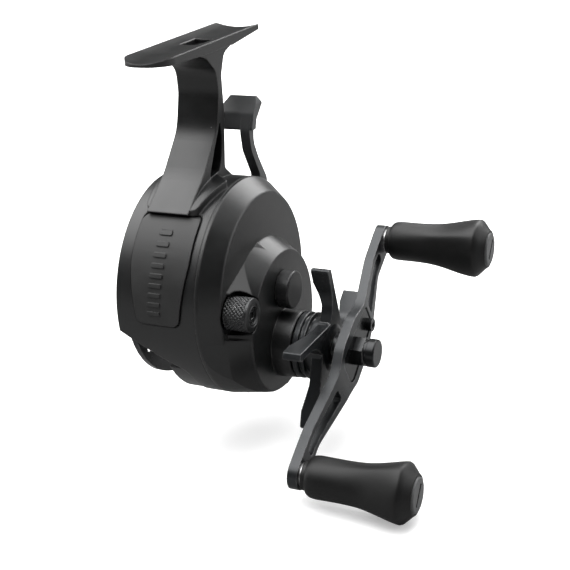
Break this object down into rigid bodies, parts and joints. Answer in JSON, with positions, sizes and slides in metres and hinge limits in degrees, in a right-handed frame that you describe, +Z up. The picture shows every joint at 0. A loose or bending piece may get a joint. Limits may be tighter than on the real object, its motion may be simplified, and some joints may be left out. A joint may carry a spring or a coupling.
{
  "type": "fishing reel",
  "caption": "In-line trigger fishing reel: round cowled body, foot on a windowed stem, star drag, knurled dial and double-knob crank.",
  "frame": {"origin": "on the spool axis, under the middle of the foot", "axes": "+X along the spool axis towards the crank, +Y forward along the rod, +Z up to the foot"},
  "size_m": [0.0892, 0.0874, 0.1187],
  "materials": {
    "composite_black": "matte charcoal with a fine grain",
    "trigger_black": "satin charcoal paint",
    "pad_rubber": "matte, slightly lighter than the frame",
    "anodised_black": "satin black anodising, lighter edges",
    "cap_black": "satin black anodising",
    "dial_metal": "dark anodising worn bright on the knurl",
    "steel": "fine ground",
    "black_steel": "blackened, glossy",
    "brass": "machined",
    "carbon": "woven carbon friction sheet",
    "nylon": "natural nylon",
    "grip_rubber": "soft matte",
    "knob_cap_grey": "light grey, slotted"
  },
  "bodies": {
    "reel_body": {"frame": "composite_black", "side_cover": "composite_black", "thumb_pad": "pad_rubber", "cover_screws": "black_steel", "spool_bearing_inner": "steel", "spool_bearing_outer": "steel", "drive_shaft_bush": "nylon", "one_way_bearing": "steel", "drive_bearing_outer": "steel", "yoke_guide_posts": "steel", "yoke_springs": "steel", "trigger_pin": "steel", "trigger_spring": "steel", "brake_spring": "steel"},
    "crank": {"drive_shaft": "steel", "drive_gear": "brass", "drag_washer_inner": "carbon", "drag_washer_outer": "carbon", "drag_pressure_plate": "steel", "clutch_sleeve": "steel", "drag_spring_washers": "steel", "crank_spacer": "steel", "crank_arm": "anodised_black", "retainer_plate": "black_steel", "retainer_screw": "black_steel", "crank_nut": "black_steel", "knob_spindle_upper": "steel", "knob_spindle_lower": "steel", "knob_screw_upper": "steel", "knob_screw_lower": "steel"},
    "star": {"star_drag": "anodised_black"},
    "knob_upper": {"knob_grip_upper": "grip_rubber", "knob_cap_upper": "knob_cap_grey", "knob_bushes_upper": "nylon"},
    "knob_lower": {"knob_grip_lower": "grip_rubber", "knob_cap_lower": "knob_cap_grey", "knob_bushes_lower": "nylon"},
    "spool": {"spool": "anodised_black", "spool_shaft": "steel", "spool_drive_pin": "steel"},
    "trigger": {"trigger": "trigger_black"},
    "yoke": {"clutch_yoke": "nylon"},
    "pinion": {"pinion": "brass"},
    "brake_dial": {"brake_dial": "dial_metal", "dial_screw": "black_steel"},
    "brake_plunger": {"brake_plunger": "steel"},
    "tension_cap": {"tension_cap": "cap_black", "tension_disc": "brass"}
  },
  "joints": [
    {"name": "crank_spin", "type": "hinge", "parent": "reel_body", "child": "crank", "pos_m": [0, 0, -0.01695], "axis": [1, 0, 0], "continuous": true},
    {"name": "spool_spin", "type": "hinge", "parent": "reel_body", "child": "spool", "pos_m": [0, 0, 0], "axis": [1, 0, 0], "continuous": true},
    {"name": "trigger_pull", "type": "hinge", "parent": "reel_body", "child": "trigger", "pos_m": [0, 0.015, 0.0212], "axis": [1, 0, 0], "range_deg": [0, 10]},
    {"name": "yoke_slide", "type": "slide", "parent": "reel_body", "child": "yoke", "axis": [1, 0, 0], "range_m": [0, 0.0015], "deforming": ["yoke_springs"]},
    {"name": "pinion_spin", "type": "hinge", "parent": "yoke", "child": "pinion", "pos_m": [0, 0, 0], "axis": [1, 0, 0], "continuous": true},
    {"name": "star_turn", "type": "hinge", "parent": "crank", "child": "star", "pos_m": [0, 0, -0.01695], "axis": [1, 0, 0], "range_deg": [-180, 180]},
    {"name": "knob_upper_spin", "type": "hinge", "parent": "crank", "child": "knob_upper", "pos_m": [0, 0.03507, 0.00496], "axis": [1, 0, 0], "continuous": true},
    {"name": "knob_lower_spin", "type": "hinge", "parent": "crank", "child": "knob_lower", "pos_m": [0, -0.03507, -0.03886], "axis": [1, 0, 0], "continuous": true},
    {"name": "dial_turn", "type": "hinge", "parent": "reel_body", "child": "brake_dial", "pos_m": [0, -0.0217, 0.0004], "axis": [1, 0, 0], "range_deg": [0, 300]},
    {"name": "brake_slide", "type": "slide", "parent": "reel_body", "child": "brake_plunger", "axis": [-1, 0, 0], "range_m": [0, 0.0015], "deforming": ["brake_spring"]},
    {"name": "tension_turn", "type": "hinge", "parent": "reel_body", "child": "tension_cap", "pos_m": [0, 0, 0], "axis": [1, 0, 0], "range_deg": [0, 270]}
  ],
  "couplings": [
    {"joint": "spool_spin", "follows": "crank_spin", "ratio": -2.5},
    {"joint": "pinion_spin", "follows": "crank_spin", "ratio": -2.5},
    {"joint": "yoke_slide", "follows": "trigger_pull", "m_per_rad": 0.00859},
    {"joint": "dial_turn", "follows": "brake_slide", "rad_per_m": 3490.6}
  ]
}
